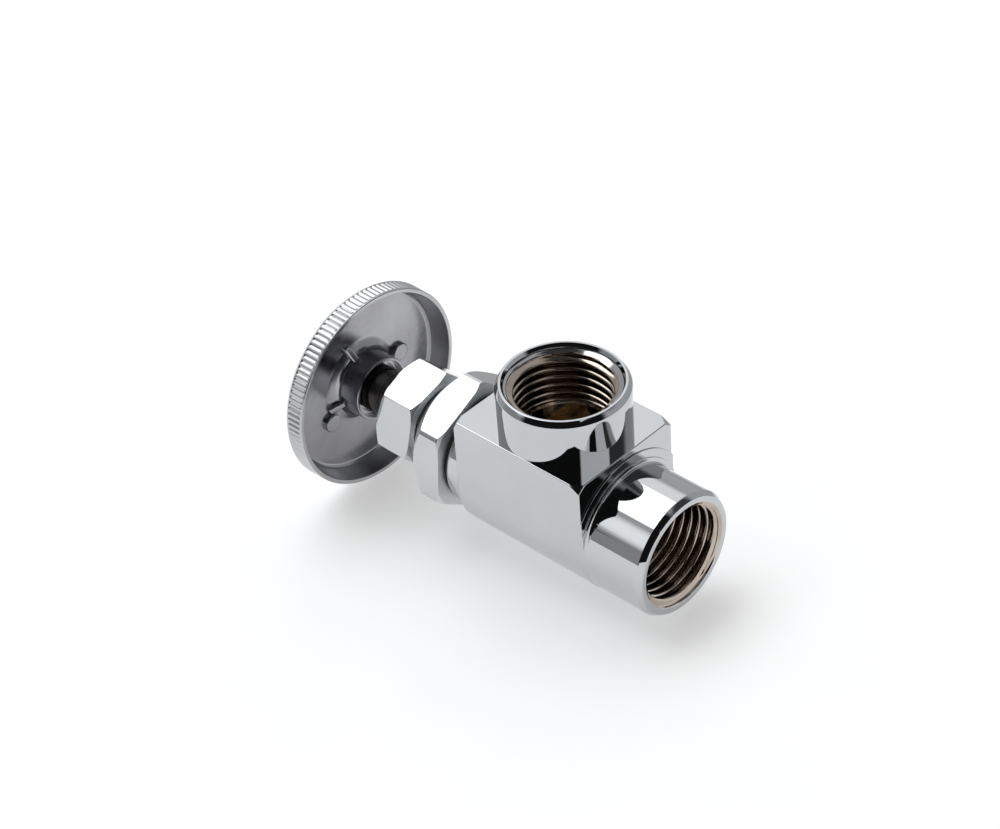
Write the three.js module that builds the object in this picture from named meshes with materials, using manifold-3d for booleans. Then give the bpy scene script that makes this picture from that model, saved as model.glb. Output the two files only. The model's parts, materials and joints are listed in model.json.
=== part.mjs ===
// Angle stop valve with two female pipe-thread ports and a round wheel handle.
// Millimetres. Inside the valve group +X runs along the stem towards the inlet port,
// +Z points up the outlet port, and the two port axes cross at the origin.
// The whole valve then leans about Y, because it lies on its handle rim and its inlet boss.

import * as THREE from 'three';
import { mergeVertices } from 'three/addons/utils/BufferGeometryUtils.js';
import Module from 'manifold-3d';

const wasm = await Module();
wasm.setup();

// ---- Driving dimensions ----

const GAP = 0.3;                     // clearance between neighbouring pieces
const ROUND_SIDES = 36;              // facets of a full turn
const HANDLE_SIDES = 48;
const SMALL_SIDES = 16;              // facets of screws and small rings

const BODY = {
  left: -16.5,
  right: 14.45,
  radius: 12.7,                      // half width, and the round underside
  top: 16.7,
  cornerTurn: 20.0,                  // radius where the turned corners start
  cornerRadius: 21.1,                // radius that clears the block's corners
  rightCornerDepth: 2.7,
  leftCornerDepth: 1.1,
  stepRadius: 15.3,                  // low turned step around the inlet boss
  stepHeight: 0.25,
};

const NECK = { radius: 11.2, end: -21.2 };

const PORT = {
  radius: 12.7,                      // outside of both threaded bosses
  inletEnd: 28.0,
  outletEnd: 26.5,
  bevel: 0.9,                        // outside bevel at each mouth
  bevelLength: 1.2,
  threadRadius: 9.9,                 // mean radius of the 1/2 inch pipe thread
  sinkRadius: 11.2,                  // countersink at the mouth
  sinkDepth: 1.3,
  threadDepth: 14.0,
};

const WATERWAY = {
  chamberRadius: 8.6,
  chamberEnd: 8.8,
  seatFace: 7.2,                     // raised lip that the washer closes on
  seatLipRadius: 6.4,
  orificeRadius: 5.0,
  approachRadius: 8.2,               // plain bore behind the inlet thread
  approachEnd: 11.6,
  outletRadius: 8.9,                 // plain bore under the outlet thread
};

const BONNET = {
  threadRadius: 9.5,
  spigotEnd: -11.0,
  hexFlats: 25.0,
  hexRight: -22.0,
  hexLeft: -29.5,
  hexCorner: 25.0,                   // degrees from +Y to a corner of the hexagon
  hexBevel: 0.9,
  neckRadius: 7.6,
  neckEnd: -37.8,
  packingRadius: 6.4,
  packingFloor: -31.0,
  stemThreadRadius: 5.6,
  stemThreadEnd: -14.0,
  skirtRadius: 7.4,                  // hollow that clears the stem collar
};

const NUT = {
  flats: 18.5,
  right: -32.9,
  left: -42.0,
  corner: 15.0,
  bevel: 0.9,
  boreRadius: 7.9,
  capInside: -40.1,
  holeRadius: 5.1,
};

const STEM = {
  radius: 4.75,
  threadRadius: 5.3,
  threadLeft: -28.6,
  threadRight: -14.6,
  shankRadius: 4.6,
  right: -4.9,
  socketRadius: 2.6,                 // socket for the swivel pin of the washer holder
  socketLeft: -11.4,
  clipRadius: 3.4,                   // groove that the snap ring springs into
  clipLeft: -8.4,
  clipRight: -7.4,
  shoulder: -51.2,
  splineRadius: 4.0,
  left: -54.9,
  tapRadius: 2.2,
  tapRight: -44.0,
};

const TRAVEL = { lift: 6.0, turns: 3 };    // screw travel between open and shut

const WASHER = {
  right: WATERWAY.seatFace - GAP - TRAVEL.lift,
  thickness: 3.0,
  radius: 6.3,
  holeRadius: 1.9,
};

const HANDLE = {
  radius: 21.0,
  lip: -50.4,
  lipWidth: 1.0,
  bandEnd: -54.3,
  floorRadius: 18.9,
  floorEdge: -54.9,
  floorCentre: -55.6,
  hubRadius: 6.7,
  hubBase: 8.6,                      // foot of the fillet round the hub
  hubEnd: -49.5,
  mouthRadius: 5.5,
  mouthDepth: 2.1,
  splineRadius: 4.3,
  boreEnd: -55.2,
  crown: -57.9,
  recessRadius: 4.7,
  recessFloor: -56.0,
  screwHoleRadius: 2.3,
  bossRadius: 1.9,
  bossHeight: 0.7,
  bossCircle: 10.6,
  bossAngles: [2, 212],              // degrees round from +Y
  ribAngles: [107, 197],
};

const LEAN = Math.asin(
  (HANDLE.radius - PORT.radius)
  / Math.hypot(HANDLE.radius - PORT.radius, PORT.inletEnd - PORT.bevelLength - HANDLE.bandEnd),
);

// ---- Materials ----

const CHROME = { color: 0xd4d7da, roughness: 0.08, metalness: 1.0 };
const CAST_PLATE = { color: 0x8d8d92, roughness: 0.32, metalness: 1.0 };
const BRASS = { color: 0xb9975a, roughness: 0.35, metalness: 1.0 };
const STEEL = { color: 0xa9adb1, roughness: 0.3, metalness: 1.0 };
const GRAPHITE = { color: 0x2c2c2e, roughness: 0.7, metalness: 0.1 };
const RUBBER = { color: 0x1d1d1f, roughness: 0.85, metalness: 0.0 };
const FIBRE = { color: 0x2a2a2c, roughness: 0.8, metalness: 0.0 };

// ---- Solid helpers ----

function signedVolume(vertices, triangles) {
  const corner = (index) => new THREE.Vector3().fromArray(vertices, 3 * index);
  let volume = 0;
  for (let i = 0; i < triangles.length; i += 3) {
    const [a, b, c] = [corner(triangles[i]), corner(triangles[i + 1]), corner(triangles[i + 2])];
    volume += a.dot(b.cross(c)) / 6;
  }
  return volume;
}

function fullTriangles(index) {
  const triangles = [];
  for (let i = 0; i < index.length; i += 3) {
    const [a, b, c] = [index[i], index[i + 1], index[i + 2]];
    if (a !== b && b !== c && c !== a) triangles.push(a, b, c);
  }
  return triangles;
}

function solid(geometry) {
  geometry.deleteAttribute('normal');
  geometry.deleteAttribute('uv');
  const merged = mergeVertices(geometry, 1e-4);
  const vertices = merged.getAttribute('position').array;
  const triangles = fullTriangles(merged.index.array);
  if (signedVolume(vertices, triangles) < 0) triangles.reverse();
  return new wasm.Manifold(new wasm.Mesh({
    numProp: 3,
    vertProperties: new Float32Array(vertices),
    triVerts: new Uint32Array(triangles),
  }));
}

function geometryOf(manifold) {
  const mesh = manifold.getMesh();
  const geometry = new THREE.BufferGeometry();
  geometry.setAttribute('position', new THREE.BufferAttribute(new Float32Array(mesh.vertProperties), 3));
  geometry.setIndex(Array.from(mesh.triVerts));
  geometry.computeVertexNormals();
  return geometry;
}

// Turned solid about X from [x, radius] corners; the outline closes on the axis or on itself.
function turned(outline, sides = ROUND_SIDES) {
  const onAxis = outline[0][1] === 0;
  const closed = onAxis ? outline : [...outline, outline[0]];
  const points = closed.map(([x, radius]) => new THREE.Vector2(radius, x));
  const geometry = new THREE.LatheGeometry(points, sides);
  return solid(geometry.rotateZ(-Math.PI / 2));
}

// The same about Z, from [z, radius] corners.
function turnedUp(outline) {
  const points = outline.map(([z, radius]) => new THREE.Vector2(radius, z));
  const geometry = new THREE.LatheGeometry(points, ROUND_SIDES);
  return solid(geometry.rotateX(Math.PI / 2));
}

function rod(left, right, radius, sides = ROUND_SIDES) {
  return turned([[left, 0], [left, radius], [right, radius], [right, 0]], sides);
}

function ring(left, right, inner, outer, sides = ROUND_SIDES) {
  return turned([[left, inner], [left, outer], [right, outer], [right, inner]], sides);
}

// Prism along X from a shape drawn with the across axis as x and the upward axis as y.
function prismAlongX(shape, left, right) {
  const geometry = new THREE.ExtrudeGeometry(shape, {
    depth: right - left,
    bevelEnabled: false,
    curveSegments: ROUND_SIDES / 2,
  });
  geometry.rotateX(Math.PI / 2);
  geometry.rotateZ(Math.PI / 2);
  return solid(geometry.translate(left, 0, 0));
}

function hexagonShape(acrossFlats, cornerDegrees) {
  const reach = acrossFlats / Math.sqrt(3);
  const corners = Array.from({ length: 6 }, (_, k) => {
    const angle = THREE.MathUtils.degToRad(cornerDegrees + 60 * k);
    return new THREE.Vector2(reach * Math.cos(angle), reach * Math.sin(angle));
  });
  return new THREE.Shape(corners);
}

// Hexagon with its corners turned off at both ends, as on a nut.
function bevelledHexagon(acrossFlats, cornerDegrees, left, right, bevel) {
  const flat = acrossFlats / 2;
  const reach = acrossFlats / Math.sqrt(3) + 0.1;
  const envelope = turned([
    [left, 0],
    [left, flat],
    [left + bevel, reach],
    [right - bevel, reach],
    [right, flat],
    [right, 0],
  ]);
  return prismAlongX(hexagonShape(acrossFlats, cornerDegrees), left, right).intersect(envelope);
}

// ---- Valve body ----

function bodySectionShape() {
  const shape = new THREE.Shape();
  shape.moveTo(BODY.radius, 0);
  shape.lineTo(BODY.radius, BODY.top);
  shape.lineTo(-BODY.radius, BODY.top);
  shape.lineTo(-BODY.radius, 0);
  shape.absarc(0, 0, BODY.radius, Math.PI, 2 * Math.PI, false);
  return shape;
}

function bodyBlock() {
  const stepEnd = BODY.right + BODY.stepHeight;
  const envelope = turned([
    [BODY.left, 0],
    [BODY.left, BODY.cornerTurn],
    [BODY.left + BODY.leftCornerDepth, BODY.cornerRadius],
    [BODY.right - BODY.rightCornerDepth, BODY.cornerRadius],
    [BODY.right, BODY.cornerTurn],
    [BODY.right, BODY.stepRadius],
    [stepEnd, BODY.stepRadius],
    [stepEnd, 0],
  ]);
  return prismAlongX(bodySectionShape(), BODY.left - 1, stepEnd + 1).intersect(envelope);
}

function bossOutline(start, end) {
  return [
    [start, 0],
    [start, PORT.radius],
    [end - PORT.bevelLength, PORT.radius],
    [end, PORT.radius - PORT.bevel],
    [end, 0],
  ];
}

function portBoreOutline(end, plainRadius, plainEnd) {
  return [
    [end + 1, 0],
    [end + 1, PORT.sinkRadius],
    [end, PORT.sinkRadius],
    [end - PORT.sinkDepth, PORT.threadRadius],
    [end - PORT.threadDepth, PORT.threadRadius],
    [end - PORT.threadDepth, plainRadius],
    [plainEnd, plainRadius],
    [plainEnd, 0],
  ];
}

function valveBody() {
  const blank = bodyBlock()
    .add(turned(bossOutline(0, PORT.inletEnd)))
    .add(turnedUp(bossOutline(0, PORT.outletEnd)))
    .add(rod(NECK.end, 0, NECK.radius));
  const chamber = rod(NECK.end - 1, WATERWAY.chamberEnd, WATERWAY.chamberRadius)
    .subtract(rod(WATERWAY.seatFace, PORT.inletEnd, WATERWAY.seatLipRadius));
  const bonnetThread = rod(NECK.end - 1, BONNET.spigotEnd + 1, BONNET.threadRadius + GAP);
  const orifice = rod(WATERWAY.seatFace - 1, PORT.inletEnd, WATERWAY.orificeRadius);
  const inlet = turned(portBoreOutline(PORT.inletEnd, WATERWAY.approachRadius, WATERWAY.approachEnd));
  const outlet = turnedUp(portBoreOutline(PORT.outletEnd, WATERWAY.outletRadius, 0))
    .subtract(rod(WATERWAY.seatFace, PORT.inletEnd, WATERWAY.seatLipRadius));
  return blank
    .subtract(chamber)
    .subtract(bonnetThread)
    .subtract(orifice)
    .subtract(inlet)
    .subtract(outlet);
}

// ---- Bonnet and packing ----

function bonnet() {
  const hexagon = bevelledHexagon(
    BONNET.hexFlats, BONNET.hexCorner, BONNET.hexLeft, BONNET.hexRight, BONNET.hexBevel,
  );
  const bore = turned([
    [BONNET.neckEnd - 1, 0],
    [BONNET.neckEnd - 1, BONNET.packingRadius],
    [BONNET.packingFloor, BONNET.packingRadius],
    [BONNET.packingFloor, STEM.radius + GAP],
    [STEM.threadLeft - GAP, STEM.radius + GAP],
    [STEM.threadLeft - GAP, BONNET.stemThreadRadius],
    [BONNET.stemThreadEnd, BONNET.stemThreadRadius],
    [BONNET.stemThreadEnd, BONNET.skirtRadius],
    [BONNET.spigotEnd + 1, BONNET.skirtRadius],
    [BONNET.spigotEnd + 1, 0],
  ]);
  return hexagon
    .add(rod(BONNET.hexRight - 1, BONNET.spigotEnd, BONNET.threadRadius))
    .add(rod(BONNET.neckEnd, BONNET.hexRight, BONNET.neckRadius))
    .subtract(bore);
}

function bonnetGasket() {
  const margin = 0.2;
  return ring(BONNET.hexRight + margin, NECK.end - margin, BONNET.threadRadius + GAP, NECK.radius);
}

function packingNut() {
  const hexagon = bevelledHexagon(NUT.flats, NUT.corner, NUT.left, NUT.right, NUT.bevel);
  const bore = turned([
    [NUT.right + 1, 0],
    [NUT.right + 1, NUT.boreRadius],
    [NUT.capInside, NUT.boreRadius],
    [NUT.capInside, NUT.holeRadius],
    [NUT.left - 1, NUT.holeRadius],
    [NUT.left - 1, 0],
  ]);
  return hexagon.subtract(bore);
}

const PACKING = {
  inner: STEM.radius + GAP,
  outer: BONNET.packingRadius - GAP,
  washerThickness: 0.8,
  ringThickness: 1.5,
  ringCount: 3,
};

function packingWasher() {
  const right = BONNET.packingFloor - GAP;
  return ring(right - PACKING.washerThickness, right, PACKING.inner, PACKING.outer);
}

function packingRingRight(position) {
  const washerLeft = BONNET.packingFloor - GAP - PACKING.washerThickness;
  return washerLeft - GAP - position * (PACKING.ringThickness + GAP);
}

function packingRing(position) {
  const right = packingRingRight(position);
  return ring(right - PACKING.ringThickness, right, PACKING.inner, PACKING.outer);
}

function packingGland() {
  const right = packingRingRight(PACKING.ringCount);
  const flangeRight = BONNET.neckEnd - GAP;
  const flangeLeft = NUT.capInside + GAP;
  return turned([
    [right, PACKING.inner],
    [right, PACKING.outer],
    [flangeRight, PACKING.outer],
    [flangeRight, BONNET.neckRadius],
    [flangeLeft, BONNET.neckRadius],
    [flangeLeft, PACKING.inner],
  ]);
}

// ---- Stem and its washer ----

function stem() {
  const shaft = turned([
    [STEM.left, 0],
    [STEM.left, STEM.splineRadius],
    [STEM.shoulder, STEM.splineRadius],
    [STEM.shoulder, STEM.radius],
    [STEM.threadLeft, STEM.radius],
    [STEM.threadLeft, STEM.threadRadius],
    [STEM.threadRight, STEM.threadRadius],
    [STEM.threadRight, STEM.shankRadius],
    [STEM.right, STEM.shankRadius],
    [STEM.right, 0],
  ]);
  const socket = turned([
    [STEM.right + 1, 0],
    [STEM.right + 1, STEM.socketRadius],
    [STEM.clipRight, STEM.socketRadius],
    [STEM.clipRight, STEM.clipRadius],
    [STEM.clipLeft, STEM.clipRadius],
    [STEM.clipLeft, STEM.socketRadius],
    [STEM.socketLeft, STEM.socketRadius],
    [STEM.socketLeft, 0],
  ]);
  return shaft.subtract(socket).subtract(rod(STEM.left - 1, STEM.tapRight, STEM.tapRadius));
}

const HOLDER = {
  plateRadius: 7.2,
  plateLeft: STEM.right + GAP,
  plateRight: WASHER.right - WASHER.thickness - GAP,
  pinRadius: 2.2,
  pinLeft: STEM.socketLeft + GAP,
  grooveRadius: 1.7,
};

function discHolder() {
  const rim = WASHER.right - WASHER.thickness / 2;
  const cup = turned([
    [HOLDER.plateLeft, 0],
    [HOLDER.plateLeft, HOLDER.plateRadius - 0.5],
    [HOLDER.plateLeft + 0.5, HOLDER.plateRadius],
    [rim, HOLDER.plateRadius],
    [rim, WASHER.radius + GAP],
    [HOLDER.plateRight, WASHER.radius + GAP],
    [HOLDER.plateRight, 0],
  ]);
  const pin = turned([
    [HOLDER.pinLeft, 0],
    [HOLDER.pinLeft, HOLDER.pinRadius],
    [STEM.clipLeft, HOLDER.pinRadius],
    [STEM.clipLeft, HOLDER.grooveRadius],
    [STEM.clipRight, HOLDER.grooveRadius],
    [STEM.clipRight, HOLDER.pinRadius],
    [HOLDER.plateRight - 0.5, HOLDER.pinRadius],
    [HOLDER.plateRight - 0.5, 0],
  ]);
  const tap = rod(HOLDER.plateRight - 4, HOLDER.plateRight + 1, SCREW.tapRadius, SMALL_SIDES);
  return cup.add(pin).subtract(tap);
}

// Snap ring with an open side, so that it can spring into the socket's groove.
function discSnapRing() {
  const inner = HOLDER.grooveRadius + GAP;
  const outer = STEM.clipRadius - GAP;
  const margin = 0.25;
  const loop = ring(STEM.clipLeft + margin, STEM.clipRight - margin, inner, outer, SMALL_SIDES);
  const gap = new THREE.BoxGeometry(2, 1.4, 2 * outer);
  gap.translate((STEM.clipLeft + STEM.clipRight) / 2, 0, outer);
  return loop.subtract(solid(gap));
}

const SCREW = { radius: 1.3, tapRadius: 1.6, headRadius: 3.0, headHeight: 1.5, slot: 0.8, length: 5.4 };

function seatWasher() {
  return ring(WASHER.right - WASHER.thickness, WASHER.right, WASHER.holeRadius, WASHER.radius);
}

function washerScrew() {
  const underHead = WASHER.right + GAP;
  const top = underHead + SCREW.headHeight;
  const blank = turned([
    [underHead - SCREW.length, 0],
    [underHead - SCREW.length, SCREW.radius],
    [underHead, SCREW.radius],
    [underHead, SCREW.headRadius],
    [top - 0.5, SCREW.headRadius],
    [top, SCREW.headRadius - 0.6],
    [top, 0],
  ], SMALL_SIDES);
  const slot = new THREE.BoxGeometry(1.4, SCREW.slot, 3 * SCREW.headRadius);
  slot.translate(top, 0, 0);
  return blank.subtract(solid(slot));
}

// ---- Handle ----

function handleOutline() {
  const middle = HANDLE.recessFloor - HANDLE.crown;
  return [
    [HANDLE.lip, HANDLE.radius],
    [HANDLE.bandEnd, HANDLE.radius],
    [HANDLE.bandEnd - 1.0, HANDLE.radius - 0.8],
    [HANDLE.bandEnd - 2.1, HANDLE.radius - 3.2],
    [HANDLE.crown + 0.8, HANDLE.radius / 2 + 3],
    [HANDLE.crown + 0.2, HANDLE.radius / 2 - 2],
    [HANDLE.crown, HANDLE.recessRadius + 0.6],
    [HANDLE.crown + 0.3, HANDLE.recessRadius],
    [HANDLE.crown + middle, HANDLE.recessRadius],
    [HANDLE.crown + middle, HANDLE.screwHoleRadius],
    [HANDLE.boreEnd, HANDLE.screwHoleRadius],
    [HANDLE.boreEnd, HANDLE.splineRadius],
    [HANDLE.hubEnd - HANDLE.mouthDepth, HANDLE.splineRadius],
    [HANDLE.hubEnd - HANDLE.mouthDepth, HANDLE.mouthRadius],
    [HANDLE.hubEnd, HANDLE.mouthRadius],
    [HANDLE.hubEnd, HANDLE.hubRadius],
    [HANDLE.floorCentre + 1.4, HANDLE.hubRadius + 0.4],
    [HANDLE.floorCentre + 0.4, HANDLE.hubRadius + 0.9],
    [HANDLE.floorCentre, HANDLE.hubBase],
    [HANDLE.floorEdge, HANDLE.floorRadius - 1.0],
    [HANDLE.floorEdge + 0.9, HANDLE.floorRadius],
    [HANDLE.lip, HANDLE.radius - HANDLE.lipWidth],
  ];
}

function atAngle(manifold, degrees) {
  return manifold.rotate([degrees, 0, 0]);
}

// Round moulding mark standing on the cup floor, out along +Y before it is turned.
function handleBoss() {
  const geometry = new THREE.CylinderGeometry(HANDLE.bossRadius, HANDLE.bossRadius, 2, SMALL_SIDES);
  geometry.rotateZ(Math.PI / 2);
  const floor = (HANDLE.floorCentre + HANDLE.floorEdge) / 2;
  geometry.translate(floor + HANDLE.bossHeight - 1, HANDLE.bossCircle, 0);
  return solid(geometry);
}

// Small web between the hub and the cup floor, out along +Y before it is turned.
function handleRib() {
  const shape = new THREE.Shape();
  const foot = HANDLE.floorCentre - 0.6;
  shape.moveTo(foot, HANDLE.hubRadius - 0.8);
  shape.lineTo(foot, HANDLE.hubRadius + 3.2);
  shape.lineTo(HANDLE.floorCentre + 0.7, HANDLE.hubRadius + 3.2);
  shape.lineTo(HANDLE.floorCentre + 2.4, HANDLE.hubRadius - 0.8);
  const width = 1.2;
  const geometry = new THREE.ExtrudeGeometry(shape, { depth: width, bevelEnabled: false });
  return solid(geometry.translate(0, 0, -width / 2));
}

function handle() {
  let wheel = turned(handleOutline(), HANDLE_SIDES);
  for (const angle of HANDLE.bossAngles) wheel = wheel.add(atAngle(handleBoss(), angle));
  for (const angle of HANDLE.ribAngles) wheel = wheel.add(atAngle(handleRib(), angle));
  return wheel;
}

const HANDLE_SCREW = { radius: 1.9, headRadius: 3.9, headHeight: 2.0, washerThickness: 0.5 };

function handleScrewWasher() {
  const right = HANDLE.recessFloor - 0.2;
  const left = right - HANDLE_SCREW.washerThickness;
  return ring(left, right, HANDLE.screwHoleRadius, HANDLE_SCREW.headRadius - 0.2, SMALL_SIDES);
}

function handleScrew() {
  const underHead = HANDLE.recessFloor - 0.4 - HANDLE_SCREW.washerThickness;
  const top = underHead - HANDLE_SCREW.headHeight;
  const blank = turned([
    [top, 0],
    [top, HANDLE_SCREW.headRadius - 1.6],
    [top + 0.7, HANDLE_SCREW.headRadius - 0.4],
    [top + 1.4, HANDLE_SCREW.headRadius],
    [underHead, HANDLE_SCREW.headRadius],
    [underHead, HANDLE_SCREW.radius],
    [STEM.tapRight - 2, HANDLE_SCREW.radius],
    [STEM.tapRight - 2, 0],
  ], SMALL_SIDES);
  const crossArm = (across, up) => solid(new THREE.BoxGeometry(2.2, across, up).translate(top, 0, 0));
  return blank.subtract(crossArm(0.9, 4.2)).subtract(crossArm(4.2, 0.9));
}

// ---- Assembly ----

function piece(name, manifold, finish) {
  const mesh = new THREE.Mesh(geometryOf(manifold), new THREE.MeshStandardMaterial(finish));
  mesh.name = name;
  return mesh;
}

function valvePieces() {
  const rings = Array.from({ length: PACKING.ringCount }, (_, k) => (
    piece(`packing_ring_${k + 1}`, packingRing(k), GRAPHITE)
  ));
  return [
    piece('valve_body', valveBody(), CHROME),
    piece('bonnet', bonnet(), CHROME),
    piece('bonnet_gasket', bonnetGasket(), FIBRE),
    piece('packing_nut', packingNut(), CHROME),
    piece('packing_gland', packingGland(), BRASS),
    piece('packing_washer', packingWasher(), BRASS),
    ...rings,
    piece('stem', stem(), BRASS),
    piece('disc_holder', discHolder(), BRASS),
    piece('disc_snap_ring', discSnapRing(), STEEL),
    piece('seat_washer', seatWasher(), RUBBER),
    piece('washer_screw', washerScrew(), BRASS),
    piece('handle', handle(), CAST_PLATE),
    piece('handle_screw', handleScrew(), STEEL),
    piece('handle_screw_washer', handleScrewWasher(), STEEL),
  ];
}

const valve = new THREE.Group();
valve.add(...valvePieces());
valve.rotation.y = LEAN;

// The bottom centre of the leaning valve's box is the part's origin.
const part = new THREE.Group();
part.add(valve);
part.updateMatrixWorld(true);
const box = new THREE.Box3().setFromObject(valve, true);
valve.position.set(-(box.min.x + box.max.x) / 2, -(box.min.y + box.max.y) / 2, -box.min.z);

export default part;
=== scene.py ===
"""Looks of the angle stop valve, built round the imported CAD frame."""

import json
import math

import bmesh
import bpy
import numpy as np
from mathutils import Matrix, Vector


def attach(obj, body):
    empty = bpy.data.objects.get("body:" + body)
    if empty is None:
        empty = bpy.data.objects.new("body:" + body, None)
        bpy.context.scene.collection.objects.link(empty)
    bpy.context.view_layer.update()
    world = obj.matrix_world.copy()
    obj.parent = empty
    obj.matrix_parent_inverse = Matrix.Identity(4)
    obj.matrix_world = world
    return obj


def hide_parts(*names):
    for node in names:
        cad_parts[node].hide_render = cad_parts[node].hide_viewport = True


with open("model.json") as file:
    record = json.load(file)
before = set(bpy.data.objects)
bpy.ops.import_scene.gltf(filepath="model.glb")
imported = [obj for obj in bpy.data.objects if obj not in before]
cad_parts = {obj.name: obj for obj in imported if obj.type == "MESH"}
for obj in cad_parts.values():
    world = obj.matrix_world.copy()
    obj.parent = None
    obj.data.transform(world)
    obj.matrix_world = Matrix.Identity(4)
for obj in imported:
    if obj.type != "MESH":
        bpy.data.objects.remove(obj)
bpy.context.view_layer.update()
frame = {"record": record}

TAU = 2 * math.pi

# ---- Where the valve lies ----
# The valve's own axes come from its two ports: x runs along the stem towards the inlet,
# z points up the outlet, and the ports' axes cross at the valve's centre.

MM = 0.001
PORT_RING = 11.5        # from a port's axis to its mount on the end ring
OUTLET_END = 26.5
INLET_END = 28.0

mounts = {mount["name"]: mount for mount in frame["record"]["mounts"]}
run_axis = Vector(mounts["inlet_port"]["axis"]).normalized()
port_axis = Vector(mounts["outlet_port"]["axis"]).normalized()
side_axis = port_axis.cross(run_axis)
valve_centre = (
    Vector(mounts["outlet_port"]["pos_m"])
    - side_axis * PORT_RING * MM
    - port_axis * OUTLET_END * MM
)
PLACE = Matrix((run_axis, side_axis, port_axis)).transposed().to_4x4() @ Matrix.Scale(MM, 4)
PLACE.translation = valve_centre

# ---- Sizes in millimetres along the valve's own axes ----

SIDES = 256
ARC_STEP = 12.0         # degrees of arc between points of an eased corner
SHARP = 32.0            # degrees beyond which an edge stays sharp
FINE = 0.12             # usual easing of a machined edge

HALF = 12.7             # half width of the body, and the radius of its round underside
BODY_LEFT, BODY_RIGHT, BODY_TOP = -16.5, 14.45, 16.7
NECK_END, NECK_RADIUS = -21.4, 11.2
BOSS_RADIUS = 12.55
BEVEL_LENGTH, BEVEL_WIDTH = 1.05, 0.7       # round the end of each boss
PITCH = 25.4 / 14
THREAD_RADIUS, THREAD_HALF_DEPTH, THREAD_LENGTH = 9.95, 0.66, 12.0
THREAD_TAPER = 1 / 32
THREAD_FADE = 1.2       # the thread runs out over this length
# Each mouth: radius of its edge, slope and depth of its countersink.
INLET_MOUTH, OUTLET_MOUTH = (10.8, 1.67, 0.45), (11.4, 0.58, 0.75)
SINK_STEP = 0.2         # short wall below a countersink
LEAD_IN_SLOPE = 2       # of the cone between that wall and the thread
INLET_PLATED, OUTLET_PLATED = 0.05, 1.35    # depths at which the outside's plating ends
INLET_BORE, OUTLET_BORE = 8.2, 8.9          # radii of the plain bores beyond the threads
CHAMBER_RADIUS, CHAMBER_END = 8.6, 8.8
CHAMBER_MOUTH = 9.8     # radius of its wider part, where the bonnet screws in
SEAT_FACE, SEAT_LIP, ORIFICE = 7.2, 6.4, 5.0

BONNET_LEFT, BONNET_RIGHT, BONNET_FLATS, BONNET_CORNER = -29.5, -22.0, 25.0, 25.0
BONNET_NECK_RADIUS, BONNET_NECK_END = 7.6, -37.8
NUT_LEFT, NUT_RIGHT, NUT_FLATS, NUT_CORNER = -42.0, -32.9, 18.5, 15.0
STEM_HOLE, PACKING_RADIUS = 5.05, 6.1       # inside and outside of what fits round the stem
STEM_RADIUS, STEM_THREAD = 4.75, 5.3
STEM_TOP, STEM_SHOULDER, STEM_TIP = -54.9, -51.2, -4.9
HANDLE_RADIUS, HANDLE_LIP, HANDLE_BAND_END, HANDLE_CROWN = 21.0, -50.4, -54.3, -57.9
HUB_END, HUB_RADIUS, BROACH_RADIUS = -49.5, 6.7, 5.3
HANDLE_FLOOR = -55.5    # bottom of the hollow back, next to the hub
REEDS = 110
REED_DEPTH = 0.18
LIP_WIDTH = 0.35        # plain strip between the reeds and the lip


# ---- Mesh helpers ----

def mesh_object(name, vertices, faces):
    """Object in the scene, with its faces turned outwards."""
    mesh = bpy.data.meshes.new(name)
    mesh.from_pydata([tuple(v) for v in vertices], [], faces)
    outward(mesh)
    obj = bpy.data.objects.new(name, mesh)
    bpy.context.scene.collection.objects.link(obj)
    return obj


def outward(mesh):
    """Turns every face of a closed mesh outwards."""
    work = bmesh.new()
    work.from_mesh(mesh)
    bmesh.ops.recalc_face_normals(work, faces=work.faces)
    work.to_mesh(mesh)
    work.free()
    mesh.update()


def settle(obj):
    """Bakes the modifiers into the mesh."""
    graph = bpy.context.evaluated_depsgraph_get()
    mesh = bpy.data.meshes.new_from_object(obj.evaluated_get(graph))
    old = obj.data
    obj.modifiers.clear()
    obj.data = mesh
    bpy.data.meshes.remove(old)


def combine(base, other, operation):
    """Boolean of two closed solids. The other one is used up."""
    modifier = base.modifiers.new("combine", "BOOLEAN")
    modifier.operation = operation
    modifier.solver = "MANIFOLD"
    modifier.object = other
    settle(base)
    mesh = other.data
    bpy.data.objects.remove(other)
    bpy.data.meshes.remove(mesh)
    return base


def join(base, *others):
    """Adds solids to the base."""
    for other in others:
        combine(base, other, "UNION")
    return base


def cut(base, *others):
    """Takes solids away from the base."""
    for other in others:
        combine(base, other, "DIFFERENCE")
    return base


def keep_inside(base, other):
    """Keeps only what the two solids share."""
    return combine(base, other, "INTERSECT")


def eased(corners, closed=False):
    """Outline whose corners (x, y, easing) are rounded with small arcs."""
    points = []
    for i, corner in enumerate(corners):
        here = Vector(corner[:2])
        easing = corner[2] if len(corner) > 2 else 0.0
        end_point = not closed and i in (0, len(corners) - 1)
        if easing == 0.0 or end_point:
            points.append(tuple(here))
            continue
        to_last = Vector(corners[i - 1][:2]) - here
        to_next = Vector(corners[(i + 1) % len(corners)][:2]) - here
        points.extend(corner_arc(here, to_last, to_next, easing))
    return points


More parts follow.
